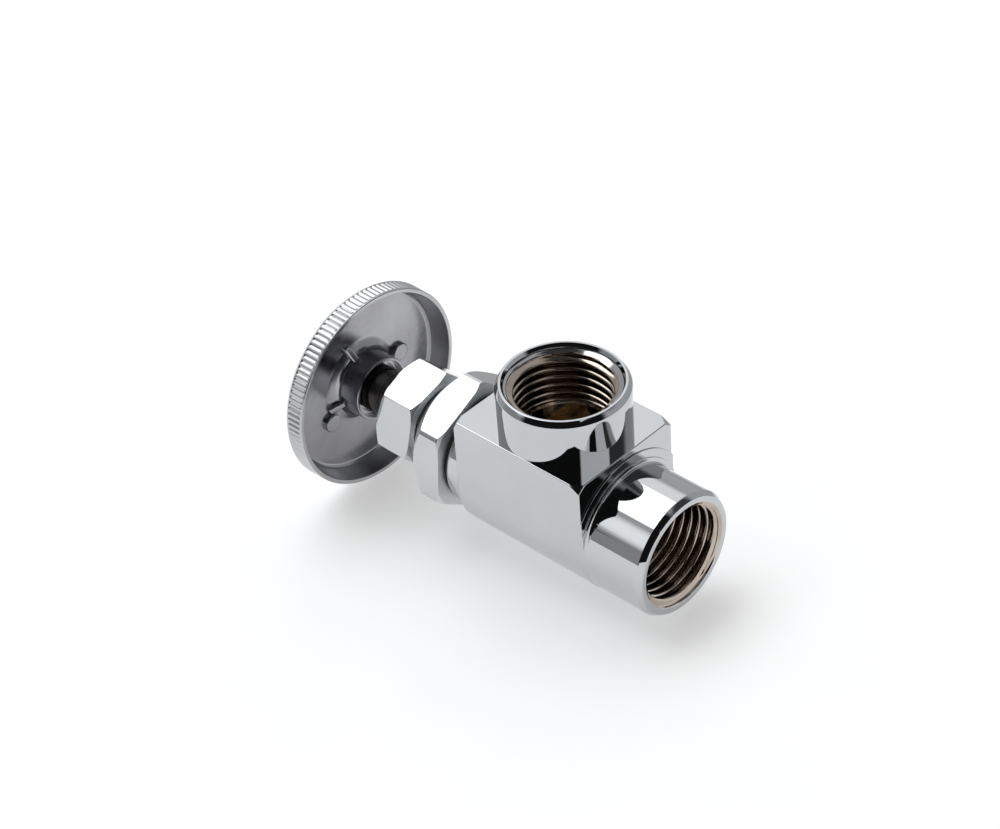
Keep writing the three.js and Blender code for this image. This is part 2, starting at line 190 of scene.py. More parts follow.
def corner_arc(here, to_last, to_next, easing):
    """Arc of radius easing that replaces a corner, or less where its sides are short."""
    turn = math.pi - to_last.angle(to_next)
    if turn < 1e-3:
        return [tuple(here)]
    reach = min(easing * math.tan(turn / 2), 0.49 * to_last.length, 0.49 * to_next.length)
    radius = reach / math.tan(turn / 2)
    first, last = to_last.normalized(), to_next.normalized()
    centre = here + (first + last).normalized() * radius / math.cos(turn / 2)
    start, end = here + first * reach - centre, here + last * reach - centre
    steps = max(2, math.ceil(math.degrees(turn) / ARC_STEP))
    arc = []
    for k in range(steps + 1):
        share = k / steps
        spoke = start * math.sin((1 - share) * turn) + end * math.sin(share * turn)
        arc.append(tuple(centre + spoke / math.sin(turn)))
    return arc


def revolve(name, outline, closed=False, sides=SIDES, swell=None):
    """Solid turned about x from (x, radius) points. swell(x, radius, angles) varies a radius."""
    angles = np.arange(sides) * TAU / sides
    vertices, rings = [], []
    for x, radius in outline:
        start = len(vertices)
        if radius < 1e-9:
            vertices.append((x, 0.0, 0.0))
            rings.append([start])
            continue
        radii = swell(x, radius, angles) if swell else np.full(sides, radius)
        vertices.extend(zip(np.full(sides, x), radii * np.cos(angles), radii * np.sin(angles)))
        rings.append(list(range(start, start + sides)))
    pairs = list(zip(rings, rings[1:]))
    if closed:
        pairs.append((rings[-1], rings[0]))
    faces = [face for a, b in pairs for face in band(a, b, sides)]
    return mesh_object(name, vertices, faces)


def band(a, b, sides):
    """Faces between two rings of vertices. A ring of one vertex is a point on the axis."""
    following = [(k + 1) % sides for k in range(sides)]
    if len(a) == 1 and len(b) == 1:
        return []
    if len(a) == 1:
        return [(a[0], b[n], b[k]) for k, n in enumerate(following)]
    if len(b) == 1:
        return [(a[k], a[n], b[0]) for k, n in enumerate(following)]
    return [(a[k], a[n], b[n], b[k]) for k, n in enumerate(following)]


def stand_up(obj):
    """Turns a solid made about x so that it stands about z, its +x end up."""
    obj.data.transform(Matrix(((0, 0, -1, 0), (0, 1, 0, 0), (1, 0, 0, 0), (0, 0, 0, 1))))
    return obj


def rod(name, left, right, radius, sides=SIDES):
    """Plain cylinder along x."""
    return revolve(name, [(left, 0), (left, radius), (right, radius), (right, 0)], sides=sides)


def loft(name, sections):
    """Skin through sections of equal point count, each a list of (x, y, z), with flat ends."""
    count = len(sections[0])
    vertices = [point for section in sections for point in section]
    faces = []
    for s in range(len(sections) - 1):
        for k in range(count):
            n = (k + 1) % count
            faces.append((s * count + k, s * count + n, (s + 1) * count + n, (s + 1) * count + k))
    faces.append(tuple(range(count)))
    faces.append(tuple(range((len(sections) - 1) * count, len(sections) * count)))
    return mesh_object(name, vertices, faces)


def prism(name, outline, left, right):
    """Straight solid along x from an outline of (y, z) points."""
    return loft(name, [[(x, y, z) for y, z in outline] for x in (left, right)])


def block(name, low, high):
    """Box between two corners."""
    outline = [(low[1], low[2]), (high[1], low[2]), (high[1], high[2]), (low[1], high[2])]
    return prism(name, outline, low[0], high[0])


def mark_sharp(mesh):
    """Smooth shading, apart from edges that turn by more than SHARP."""
    work = bmesh.new()
    work.from_mesh(mesh)
    limit = math.radians(SHARP)
    for edge in work.edges:
        edge.smooth = len(edge.link_faces) == 2 and edge.calc_face_angle() < limit
    for face in work.faces:
        face.smooth = True
    work.to_mesh(mesh)
    work.free()


def paint(obj, *names):
    """Gives a piece its materials by name. Every face starts with the first."""
    obj.data.materials.clear()
    for name in names:
        obj.data.materials.append(MATERIALS[name])
    obj.data.polygons.foreach_set("material_index", [0] * len(obj.data.polygons))
    return obj


def place(obj, name, body, nodes):
    """Puts a painted piece in the frame: its place, shading, body and CAD nodes."""
    obj.name = name
    obj.data.name = name
    obj.data.transform(PLACE)
    mark_sharp(obj.data)
    modifier = obj.modifiers.new("weighted", "WEIGHTED_NORMAL")
    modifier.keep_sharp = True
    modifier.weight = 80
    settle(obj)
    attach(obj, body)
    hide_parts(*nodes)
    return obj


# ---- Materials ----

NOISE_LOW, NOISE_HIGH = 0.3, 0.7        # a noise stays mostly between these


class Shader:
    """Small helper round a material's node tree."""

    def __init__(self, name):
        self.material = bpy.data.materials.new(name)
        self.material.use_nodes = True
        self.tree = self.material.node_tree
        self.surface = self.tree.nodes["Principled BSDF"]
        self.place = self.tree.nodes.new("ShaderNodeTexCoord").outputs["Object"]

    def link(self, source, target):
        self.tree.links.new(source, target)

    def set(self, **values):
        names = {"metallic": "Metallic", "roughness": "Roughness", "specular": "Specular IOR Level"}
        for key, value in values.items():
            self.surface.inputs[names[key]].default_value = value

    def stretched(self, scale):
        """Object coordinates scaled by a factor per axis."""
        node = self.tree.nodes.new("ShaderNodeMapping")
        node.inputs["Scale"].default_value = scale
        self.link(self.place, node.inputs["Vector"])
        return node.outputs["Vector"]

    def noise(self, scale, detail, vector=None):
        node = self.tree.nodes.new("ShaderNodeTexNoise")
        node.inputs["Scale"].default_value = scale
        node.inputs["Detail"].default_value = detail
        self.link(vector or self.place, node.inputs["Vector"])
        return node.outputs["Fac"]

    def ramp(self, source, dark, light):
        """Colour that goes from dark to light with a noise."""
        node = self.tree.nodes.new("ShaderNodeValToRGB")
        first, last = node.color_ramp.elements
        first.position, last.position = NOISE_LOW, NOISE_HIGH
        first.color, last.color = (*dark, 1.0), (*light, 1.0)
        self.link(source, node.inputs["Fac"])
        return node.outputs["Color"]

    def spread(self, source, low, high, start=NOISE_LOW, stop=NOISE_HIGH):
        """Number that goes from low to high while the source goes from start to stop."""
        node = self.tree.nodes.new("ShaderNodeMapRange")
        node.inputs["From Min"].default_value = start
        node.inputs["From Max"].default_value = stop
        node.inputs["To Min"].default_value = low
        node.inputs["To Max"].default_value = high
        self.link(source, node.inputs["Value"])
        return node.outputs["Result"]

    def colour(self, source, dark, light):
        self.link(self.ramp(source, dark, light), self.surface.inputs["Base Color"])

    def roughness(self, source, low, high):
        self.link(self.spread(source, low, high), self.surface.inputs["Roughness"])

    def dimmed_behind(self, colour):
        """Darker far behind the valve, where the studio's light falls off, for reflections only."""
        split = self.tree.nodes.new("ShaderNodeSeparateXYZ")
        self.link(self.place, split.inputs[0])
        away = self.spread(split.outputs["Y"], 0.0, 0.6, 0.045, 0.09)
        reflected = self.tree.nodes.new("ShaderNodeLightPath").outputs["Is Glossy Ray"]
        both = self.tree.nodes.new("ShaderNodeMath")
        both.operation = "MULTIPLY"
        self.link(away, both.inputs[0])
        self.link(reflected, both.inputs[1])
        mix = self.tree.nodes.new("ShaderNodeMix")
        mix.data_type = "RGBA"
        self.link(both.outputs[0], mix.inputs["Factor"])
        self.link(colour, mix.inputs["A"])
        mix.inputs["B"].default_value = (0.06, 0.06, 0.06, 1.0)
        return mix.outputs["Result"]

    def bump(self, height, distance, strength=1.0, over=None):
        """Relief of a distance in metres, on top of another bump where one is given."""
        node = self.tree.nodes.new("ShaderNodeBump")
        node.inputs["Distance"].default_value = distance
        node.inputs["Strength"].default_value = strength
        self.link(height, node.inputs["Height"])
        if over is not None:
            self.link(over, node.inputs["Normal"])
        self.link(node.outputs["Normal"], self.surface.inputs["Normal"])
        return node.outputs["Normal"]


def metal(name, grain, detail, dark, light):
    """Shader of a metal with a faint cloud in its colour."""
    shader = Shader(name)
    shader.set(metallic=1.0)
    shader.colour(shader.noise(grain, detail), dark, light)
    return shader


def chrome_material():
    """Polished plate, with faint wipe marks and a little unevenness."""
    shader = metal("chrome", 90.0, 3.0, (0.535, 0.548, 0.558), (0.56, 0.572, 0.582))
    shader.roughness(shader.noise(1500.0, 4.0), 0.02, 0.05)
    shader.bump(shader.noise(420.0, 1.0), 0.000003)
    return shader.material


def bore_material():
    """Thin nickel over machined brass, inside the ports."""
    shader = metal("port_bore", 260.0, 4.0, (0.45, 0.385, 0.325), (0.57, 0.50, 0.43))
    shader.roughness(shader.noise(900.0, 3.0), 0.06, 0.13)
    return shader.material


def cast_material():
    """Duller plate on the rough casting behind the handle."""
    shader = metal("cast_plate", 120.0, 4.0, (0.33, 0.33, 0.35), (0.42, 0.42, 0.44))
    shader.roughness(shader.noise(700.0, 4.0), 0.18, 0.27)
    rough = shader.bump(shader.noise(1400.0, 4.0), 0.000012, 0.7)
    shader.bump(shader.noise(170.0, 2.0), 0.00004, 0.5, over=rough)
    return shader.material


def rim_material():
    """Softer shine of the plated die casting on the reeded rim."""
    shader = metal("rim_plate", 140.0, 3.0, (0.46, 0.46, 0.47), (0.53, 0.53, 0.54))
    shader.roughness(shader.noise(900.0, 3.0), 0.16, 0.26)
    shader.bump(shader.noise(1200.0, 3.0), 0.000008, 0.6)
    return shader.material


def turned_material(name, dark, light, low=0.18, high=0.34):
    """Machined metal with fine turning marks across the valve's run."""
    shader = Shader(name)
    shader.set(metallic=1.0)
    marks = shader.noise(60.0, 5.0, shader.stretched((60.0, 0.4, 0.4)))
    shader.colour(marks, dark, light)
    shader.roughness(marks, low, high)
    shader.bump(marks, 0.00001)
    return shader.material


def matte_material(name, dark, light, grain, depth):
    """Packing, rubber or fibre, with a relief of the given grain and depth."""
    shader = Shader(name)
    cloud = shader.noise(grain, 5.0)
    shader.colour(cloud, dark, light)
    shader.roughness(cloud, 0.7, 0.9)
    shader.bump(cloud, depth)
    return shader.material


MATERIALS = {
    "chrome": chrome_material(),
    "bore": bore_material(),
    "cast_plate": cast_material(),
    "rim_plate": rim_material(),
    # Real satin finish on the bonnet's turned ends, and painted light: its colour is brighter than the
    # chrome's to lift these shaded faces between the nuts.
    "satin_and_painted_light": turned_material("satin_and_painted_light", (0.70, 0.71, 0.72), (0.80, 0.81, 0.82), 0.38, 0.5),
    "brass": turned_material("brass", (0.42, 0.30, 0.14), (0.56, 0.42, 0.22)),
    # Painted shade: the chamber's brass is made far darker than the brass elsewhere, for the shade inside
    # the body.
    "chamber": turned_material("chamber", (0.13, 0.10, 0.07), (0.20, 0.155, 0.11), 0.25, 0.4),
    "stem_brass": turned_material("stem_brass", (0.16, 0.15, 0.14), (0.26, 0.24, 0.22), 0.14, 0.3),
    "steel": turned_material("steel", (0.50, 0.51, 0.52), (0.62, 0.63, 0.64), 0.12, 0.25),
    "graphite": matte_material("graphite", (0.03, 0.03, 0.032), (0.09, 0.09, 0.095), 2500.0, 0.00006),
    "rubber": matte_material("rubber", (0.018, 0.018, 0.019), (0.04, 0.04, 0.042), 1800.0, 0.00002),
    "fibre": matte_material("fibre", (0.025, 0.025, 0.027), (0.06, 0.06, 0.063), 1500.0, 0.00003),
}


# ---- Valve body ----

def body_outline(inset, edge):
    """U section with a round underside, pulled in by inset; the top corners are eased."""
    half, top = HALF - inset, BODY_TOP - inset
    crown = [(half, 0.0, 0.0), (half, top, edge), (-half, top, edge), (-half, 0.0, 0.0)]
    bottom = [
        (half * math.cos(angle), half * math.sin(angle))
        for angle in np.linspace(math.pi, TAU, 129)[1:-1]
    ]
    return eased(crown) + bottom


def end_sections(face, inward):
    """Sections of the block from an end face inwards, which round that end's edge."""
    edge, steps = 0.2, 5
    sections = []
    for k in range(steps + 1):
        angle = k * math.pi / 2 / steps
        inset = edge * (1 - math.sin(angle))
        x = face + inward * edge * (1 - math.cos(angle))
        sections.append([(x, y, z) for y, z in body_outline(inset, max(edge - inset, 0.06))])
    return sections


def body_block():
    """The body between its two end faces."""
    return loft("body_block", end_sections(BODY_LEFT, 1) + end_sections(BODY_RIGHT, -1)[::-1])


def corner_envelope():
    """Turned envelope that takes the block's corners off at both ends."""
    outline = eased([
        (BODY_LEFT - 1, 0), (BODY_LEFT - 1, 18.2), (BODY_LEFT, 19.5), (BODY_LEFT + 1.1, 21.2),
        (BODY_RIGHT - 3.2, 21.3, 2.0), (BODY_RIGHT, 20.0, 0.3), (BODY_RIGHT, 16.0),
        (BODY_RIGHT + 1, 16.0), (BODY_RIGHT + 1, 0),
    ])
    return revolve("envelope", outline)


def turned_steps():
    """Two low steps and a fillet round the inlet boss, kept within the block's section."""
    first, second = BODY_RIGHT + 0.25, BODY_RIGHT + 0.45
    first_radius, second_radius = 15.4, 13.7
    outline = eased([
        (BODY_RIGHT - 2, 0), (BODY_RIGHT - 2, first_radius), (first, first_radius, 0.08),
        (first, second_radius, 0.05), (second, second_radius, 0.08), (second, BOSS_RADIUS, 0.55),
        (second + 2, BOSS_RADIUS - 0.05), (second + 2, 0),
    ])
    limits = prism("limits", body_outline(0.02, 0.3), BODY_RIGHT - 3, BODY_RIGHT + 4)
    return keep_inside(revolve("steps", outline), limits)


def boss_outline(end):
    """Boss with a bevel round its flat end ring."""
    return eased([
        (0, 0), (0, BOSS_RADIUS), (end - BEVEL_LENGTH, BOSS_RADIUS, 0.3),
        (end, BOSS_RADIUS - BEVEL_WIDTH, 0.12), (end, 0),
    ])


def thread_wave(turns):
    """Thread form with rounded crests and roots, from -1 at the crest to 1 at the root."""
    wave = -np.cos(TAU * turns)
    return 1.2 * wave - 0.2 * wave ** 3


def threaded_plug(name, end, mouth, plain_radius, plain_end):
    """The space inside a port: countersink, tapered pipe thread and plain bore."""
    stop = end - THREAD_LENGTH
    mouth_radius, slope, sink_depth = mouth
    outside = end + 1.0
    run_out = stop - 0.4

    def wall(x, radius, angles):
        """Radii round the space at x: the thread or the mouth, whichever is wider."""
        if x <= run_out:
            return np.full(len(angles), radius)
        turns = x / PITCH - angles / TAU
        thread = THREAD_RADIUS - THREAD_TAPER * (end - x) + THREAD_HALF_DEPTH * thread_wave(turns)
        faded = plain_radius + 0.3
        fade = np.clip((x - stop) / THREAD_FADE, 0, 1)
        thread = faded + (thread - faded) * fade
        depth = end - x
        sink = mouth_radius - slope * min(depth, sink_depth)
        sink -= LEAD_IN_SLOPE * max(depth - sink_depth - SINK_STEP, 0)
        return np.maximum(thread, sink)

    outline = [(outside, 0)]
    outline += [(x, plain_radius) for x in np.arange(outside, stop, -PITCH / 20)]
    outline += [(run_out, plain_radius), (plain_end, plain_radius), (plain_end, 0)]
    return revolve(name, outline, sides=240, swell=wall)


def chamber():
    """Space for the washer, down to the raised seat."""
    return revolve("chamber", [
        (NECK_END - 1, 0), (NECK_END - 1, CHAMBER_MOUTH), (-10, CHAMBER_MOUTH),
        (-10, CHAMBER_RADIUS), (CHAMBER_END, CHAMBER_RADIUS), (CHAMBER_END, SEAT_LIP),
        (SEAT_FACE, SEAT_LIP - 0.5), (SEAT_FACE, 0),
    ])


def paint_bores(obj):
    """Gives the faces inside the ports the bore material, and those of the chamber a dark one that paints
    the shade inside the body.
    """
    paint(obj, "chrome", "bore", "chamber")
    points = np.array([vertex.co for vertex in obj.data.vertices])
    from_run = np.hypot(points[:, 1], points[:, 2])
    from_port = np.hypot(points[:, 0], points[:, 1])
    x, z = points[:, 0], points[:, 2]
    within = 11         # between the bores' widest radius and the outside
    inlet = (x > 11) & (x < INLET_END - INLET_PLATED) & (from_run < within)
    outlet = (z > 8) & (z < OUTLET_END - OUTLET_PLATED) & (from_port < within)
    # Faces of the chamber, which get its painted shade.
    chamber_shade_wall = (x > NECK_END + 0.05) & (x < 12) & (from_run < CHAMBER_MOUTH + 0.05)
    for face in obj.data.polygons:
        corners = list(face.vertices)
        if chamber_shade_wall[corners].all():
            face.material_index = 2
        elif (inlet | outlet | chamber_shade_wall)[corners].all():
            face.material_index = 1


def valve_body():
    """Forged body: block, neck, two bosses, chamber and threaded ports."""
    body = keep_inside(body_block(), corner_envelope())
    neck = eased([(NECK_END, 0), (NECK_END, NECK_RADIUS, 0.7), (-10, NECK_RADIUS), (-10, 0)])
    join(body, turned_steps(), revolve("inlet", boss_outline(INLET_END)))
    join(body, stand_up(revolve("outlet", boss_outline(OUTLET_END))), revolve("neck", neck))
    cut(body, chamber(), rod("orifice", 5, 20, ORIFICE))
    cut(body, threaded_plug("inlet_plug", INLET_END, INLET_MOUTH, INLET_BORE, 11.6))
    outlet = stand_up(threaded_plug("outlet_plug", OUTLET_END, OUTLET_MOUTH, OUTLET_BORE, 0.0))
    cut(outlet, rod("seat_wall", SEAT_FACE, 20, SEAT_LIP))
    cut(body, outlet)
    paint_bores(body)
    return place(body, "body_casting", "body", ["valve_body"])


# ---- Bonnet and packing ----

def hexagon(flats, corner_degrees):
    """Outline of a hexagon given its width across flats and the angle of one corner."""
    reach, edge = flats / math.sqrt(3), 0.22
    corners = []
    for k in range(6):
        angle = math.radians(corner_degrees + 60 * k)
        corners.append((reach * math.cos(angle), reach * math.sin(angle), edge))
    return eased(corners, closed=True)


def nut_blank(name, flats, corner_degrees, left, right, cones, turned_radius):
    """Hexagon with turned corners. cones gives each end's face radius and cone length."""
    (left_radius, left_length), (right_radius, right_length) = cones
    envelope = revolve("turning", eased([
        (left, 0), (left, left_radius, 0.25), (left + left_length, turned_radius, 0.3),
        (right - right_length, turned_radius, 0.3), (right, right_radius, 0.25), (right, 0),
    ]))
    return keep_inside(prism(name, hexagon(flats, corner_degrees), left - 1, right + 1), envelope)


def bonnet():
    """Larger hexagon, with its spigot in the body and its threaded neck under the packing nut."""
    cones = ((11.6, 2.6), (13.4, 0.5))
    body = nut_blank("bonnet", BONNET_FLATS, BONNET_CORNER, BONNET_LEFT, BONNET_RIGHT, cones, 14.15)
    spigot_radius, box_radius, box_floor = 9.5, 6.4, -31.0
    spigot = eased([(-23, 0), (-23, spigot_radius), (-11.0, spigot_radius, 0.5), (-11.0, 0)])
    neck = threaded_rod("neck", BONNET_NECK_END, NUT_RIGHT - 1.0, BONNET_NECK_RADIUS, 1.0, 0.3)
    join(neck, rod("plain_neck", NUT_RIGHT - 1.5, BONNET_LEFT + 1, BONNET_NECK_RADIUS - 0.15))
    bore = revolve("bore", [
        (-38.8, 0), (-38.8, box_radius), (box_floor, box_radius), (box_floor, STEM_HOLE),
        (-28.9, STEM_HOLE), (-28.9, STEM_THREAD + 0.3), (-14, STEM_THREAD + 0.3), (-14, 7.4),
        (-10, 7.4), (-10, 0),
    ])
    join(body, revolve("spigot", spigot), neck)
    cut(body, bore)
    paint_bonnet(body)
    return place(body, "bonnet_nut", "body", ["bonnet"])


def paint_bonnet(obj):
    """Bright flats, with a satin finish on the turned ends and the open part of the neck, whose colour is
    made brighter than the chrome's as painted light.
    """
    paint(obj, "chrome", "satin_and_painted_light")
    for face in obj.data.polygons:
        radius = math.hypot(face.center.y, face.center.z)
        # Faces that get the satin finish with its painted light.
        turned_end = abs(face.normal.x) > 0.3 and radius > BONNET_NECK_RADIUS + 0.9
        open_neck = abs(face.center.x - NUT_RIGHT) < 2 and radius > BONNET_NECK_RADIUS - 0.6
        face.material_index = int(turned_end or open_neck)


def threaded_rod(name, left, right, radius, pitch, depth):
    """Rod with a fine outside thread that fades at both ends."""
    outline = [(left, 0)]
    outline += [(x, radius) for x in np.arange(left, right + 1e-6, pitch / 10)]
    outline.append((outline[-1][0], 0))

    def wave(x, base, angles):
        """Radii round the rod at x, cut in from base by the thread."""
        turns = x / pitch - angles / TAU
        fade = min(1.0, (x - left) / pitch, (right - x) / pitch)
        return base - depth * max(fade, 0.0) * (0.5 + 0.5 * thread_wave(turns))

    return revolve(name, outline, sides=144, swell=wave)


def packing_nut():
    """Smaller hexagon, which presses the gland on the packing."""
    cones = ((8.9, 1.4), (9.6, 0.5))
    nut = nut_blank("nut", NUT_FLATS, NUT_CORNER, NUT_LEFT, NUT_RIGHT, cones, 10.65)
    cap_inside, bore_radius, stem_gap, mouth = -40.1, 7.9, 5.15, 5.75
    cut(nut, revolve("bore", eased([
        (NUT_RIGHT + 1, 0), (NUT_RIGHT + 1, bore_radius), (cap_inside, bore_radius),
        (cap_inside, stem_gap), (NUT_LEFT + 0.3, stem_gap), (NUT_LEFT - 0.3, mouth),
        (NUT_LEFT - 1, mouth), (NUT_LEFT - 1, 0),
    ])))
    return place(paint(nut, "chrome"), "gland_nut", "body", ["packing_nut"])


def ring_piece(name, node, body, slot, left, right, inner, outer, easing=FINE):
    """Plain ring round the stem's axis, as a piece that replaces one node."""
    outline = eased([
        (left, inner, easing), (left, outer, easing), (right, outer, easing), (right, inner, easing),
    ], closed=True)
    piece = revolve(name, outline, closed=True, sides=128)
    return place(paint(piece, slot), name, body, [node])


def packing():
    """Seal under the bonnet, and the washer, three rings and gland inside its neck."""
    ring_piece("bonnet_seal", "bonnet_gasket", "body", "fibre", -21.8, NECK_END, 9.8, 10.8, 0.08)
    ring_piece("packing_base", "packing_washer", "body", "brass", -32.1, -31.3, STEM_HOLE, PACKING_RADIUS)
    first, spacing, thickness = -32.4, 1.8, 1.5
    for k in range(3):
        right = first - spacing * k
        ring_piece(f"packing_turn_{k + 1}", f"packing_ring_{k + 1}", "body", "graphite",
                   right - thickness, right, STEM_HOLE, PACKING_RADIUS, 0.35)
    tip, flange, top, flange_radius = -37.8, -38.1, -39.8, 7.6
    gland = revolve("gland", eased([
        (tip, STEM_HOLE, FINE), (tip, PACKING_RADIUS), (flange, PACKING_RADIUS),
        (flange, flange_radius, FINE), (top, flange_radius, FINE), (top, STEM_HOLE, FINE),
    ], closed=True), closed=True, sides=128)
    place(paint(gland, "brass"), "gland_follower", "body", ["packing_gland"])


# ---- Stem and washer ----

def stem():
    """Splined top, plain shaft, thicker thread and a socket for the washer's holder."""
    spline_radius, thread_left, thread_right, tip_radius = 4.0, -28.6, -14.6, 4.6
    shaft = revolve("stem", eased([
        (STEM_TOP, 0), (STEM_TOP, spline_radius, 0.4), (STEM_SHOULDER, spline_radius),
        (STEM_SHOULDER, STEM_RADIUS, 0.35), (thread_left, STEM_RADIUS),
        (thread_left, STEM_THREAD, 0.3), (thread_right, STEM_THREAD, 0.4),
        (thread_right, tip_radius), (STEM_TIP, tip_radius, 0.3), (STEM_TIP, 0),
    ]), swell=stem_splines, sides=288)
    hole, groove = 2.6, 3.4
    socket = revolve("socket", [
        (-4, 0), (-4, hole), (-7.4, hole), (-7.4, groove), (-8.4, groove), (-8.4, hole),
        (-11.4, hole), (-11.4, 0),
    ], sides=96)
    tap = rod("tap", -56, -44, 2.2, sides=64)
    cut(shaft, socket, tap)
    paint(shaft, "stem_brass")
    return place(shaft, "stem_shaft", "stem_and_handle", ["stem"])


def stem_splines(x, radius, angles):
    """36 fine splines on the part of the stem that sits in the handle."""
    on_splines = x < STEM_SHOULDER - 0.05 and radius > 3.5
    depth = 0.28 if on_splines else 0.0
    return radius - depth * (0.5 + 0.5 * np.cos(36 * angles))


def washer_holder():
    """Cup for the washer, on a pin that swivels in the stem."""
    cup_radius, rim_radius, floor = 7.2, 6.6, -2.4
    cup = revolve("cup", eased([
        (-4.6, 0), (-4.6, 6.9, 0.5), (-3.9, cup_radius, 0.2), (-0.6, cup_radius, 0.2),
        (-0.6, rim_radius, 0.1), (floor, rim_radius), (floor, 0),
    ]))
    pin_radius, groove = 2.2, 1.7
    pin = revolve("pin", eased([
        (-11.1, 0), (-11.1, pin_radius, 0.3), (-8.4, pin_radius), (-8.4, groove), (-7.4, groove),
        (-7.4, pin_radius), (-3.0, pin_radius), (-3.0, 0),
    ]), sides=96)
    join(cup, pin)
    cut(cup, rod("tap", -6.4, -1.0, 1.6, sides=64))
    place(paint(cup, "brass"), "washer_cup", "washer_carrier", ["disc_holder"])


def snap_ring():
    """Spring ring with an opening, in the grooves of the pin and the stem."""
    left, right, inner, outer = -8.15, -7.65, 2.0, 3.1
    ring = revolve("spring", eased([
        (left, inner, FINE), (left, outer, FINE), (right, outer, FINE), (right, inner, FINE),
    ], closed=True), closed=True, sides=96)
    cut(ring, block("opening", (-9, -0.7, 0), (-7, 0.7, 4)))
    place(paint(ring, "steel"), "snap_ring", "washer_carrier", ["disc_snap_ring"])


def washer_screw():
    """Slotted screw that holds the washer in its cup."""
    shank, head, head_left, head_right = 1.3, 3.0, 1.2, 2.7
    screw = revolve("screw", eased([
        (-4.2, 0), (-4.2, shank, 0.3), (head_left, shank), (head_left, head, 0.1),
        (2.1, head, 0.35), (head_right, 2.2, 0.5), (head_right, 0),
    ]), sides=96)
    cut(screw, block("slot", (1.9, -0.4, -4), (3.5, 0.4, 4)))
    place(paint(screw, "brass"), "washer_fastener", "washer_carrier", ["washer_screw"])


def washer_parts():
    """What travels with the stem without turning."""
    washer_holder()
    ring_piece("seat_rubber", "seat_washer", "washer_carrier", "rubber", -2.1, 0.9, 1.9, 6.3, 0.4)
    snap_ring()
    washer_screw()


# ---- Handle ----

def handle_outline():
    """Section of the wheel: rim, crowned face, screw recess, hub and hollow back."""
    screw_seat, washer_seat, hub_step = -56.0, -55.2, -50.7
    return eased([
        (HANDLE_LIP, HANDLE_RADIUS - 0.1, 0.2),
        (HANDLE_BAND_END, HANDLE_RADIUS - 0.02, 0.2),
        (HANDLE_BAND_END - 1.0, HANDLE_RADIUS - 0.8, 1.2),
        (HANDLE_BAND_END - 2.1, HANDLE_RADIUS - 3.2, 3.0),
        (HANDLE_CROWN + 0.8, 13.5, 12.0),
        (HANDLE_CROWN + 0.1, 8.5, 9.0),
        (HANDLE_CROWN, 5.3, 0.4),
        (HANDLE_CROWN + 0.3, 4.7, 0.3),
        (screw_seat, 4.7, 0.2),
        (screw_seat, 2.3),
        (washer_seat, 2.3),
        (washer_seat, 4.3),
        (hub_step - 0.9, 4.3),
        (hub_step - 0.9, BROACH_RADIUS),
        (hub_step, BROACH_RADIUS),
        (hub_step, 6.05, 0.1),
        (HUB_END, 6.05, 0.2),
        (HUB_END, HUB_RADIUS - 0.05, 0.25),
        (-54.6, HUB_RADIUS + 0.15, 1.3),
        (HANDLE_FLOOR, 8.9, 2.0),
        (HANDLE_FLOOR + 0.4, 18.6, 0.6),
        (HANDLE_FLOOR + 0.9, 19.15, 0.4),
        (HANDLE_LIP, HANDLE_RADIUS - 0.95, 0.2),
    ], closed=True)


def band_points(outline):
    """Adds points along the rim band, so that the reeds start and stop within it."""
    dense = []
    inside_rim = HANDLE_RADIUS - 0.5
    for (x, radius), (next_x, next_radius) in zip(outline, outline[1:] + outline[:1]):
        dense.append((x, radius))
        if min(radius, next_radius) > inside_rim and abs(next_x - x) > 2:
            for share in np.linspace(0, 1, 26)[1:-1]:
                dense.append((x + (next_x - x) * share, radius + (next_radius - radius) * share))
    return dense


def reeds(x, radius, angles):
    """Flat ridges parted by narrow grooves across the rim band."""
    if radius < HANDLE_RADIUS - 0.4:
        return np.full(len(angles), radius)
    start = (HANDLE_LIP - LIP_WIDTH - x) / 0.3
    stop = (x - HANDLE_BAND_END - 0.1) / 0.2
    depth = REED_DEPTH * min(max(min(start, stop), 0.0), 1.0)
    groove = 0.5 + 0.5 * np.cos(REEDS * angles)
    return radius - depth * groove ** 2


def splined_mouth(x, radius, angles):
    """Broached teeth in the mouth of the hub, and the reeds on the rim."""
    if radius == BROACH_RADIUS:
        return radius + 0.35 * np.clip(1.5 * np.cos(30 * angles), -1, 1)
    return reeds(x, radius, angles)


def floor_boss(angle_degrees):
    """Round mark in the floor of the hollow back."""
    bottom, top, radius, distance = HANDLE_FLOOR - 0.9, HANDLE_FLOOR + 1.0, 1.9, 10.6
    boss = revolve("boss", eased([
        (bottom, 0), (bottom, radius), (top, radius, 0.3), (top, 0),
    ]), sides=64)
    angle = math.radians(angle_degrees)
    offset = (0, distance * math.cos(angle), distance * math.sin(angle))
    boss.data.transform(Matrix.Translation(offset))
    return boss


def floor_rib(angle_degrees):
    """Small web between the hub and the floor."""
    outline = [(-56.2, 5.9), (-56.2, 9.9), (-54.9, 9.9), (-53.2, 5.9)]
    sections = [[(x, radius, side) for x, radius in outline] for side in (-0.8, 0.8)]
    rib = loft("rib", sections)
    modifier = rib.modifiers.new("bevel", "BEVEL")
    modifier.width = 0.5
    modifier.segments = 4
    settle(rib)
    rib.data.transform(Matrix.Rotation(math.radians(angle_degrees), 4, "X"))
    return rib


def paint_handle(obj):
    """Bright plate on the outer face, dull in the hollow back and softer on the rim."""
    paint(obj, "chrome", "cast_plate", "rim_plate")
    for face in obj.data.polygons:
        x, y, z = face.center
        radius = math.hypot(y, z)
        if radius < HANDLE_RADIUS - 0.9 and x > HANDLE_FLOOR - 0.4:
            face.material_index = 1
        elif x > HANDLE_BAND_END:
            face.material_index = 2


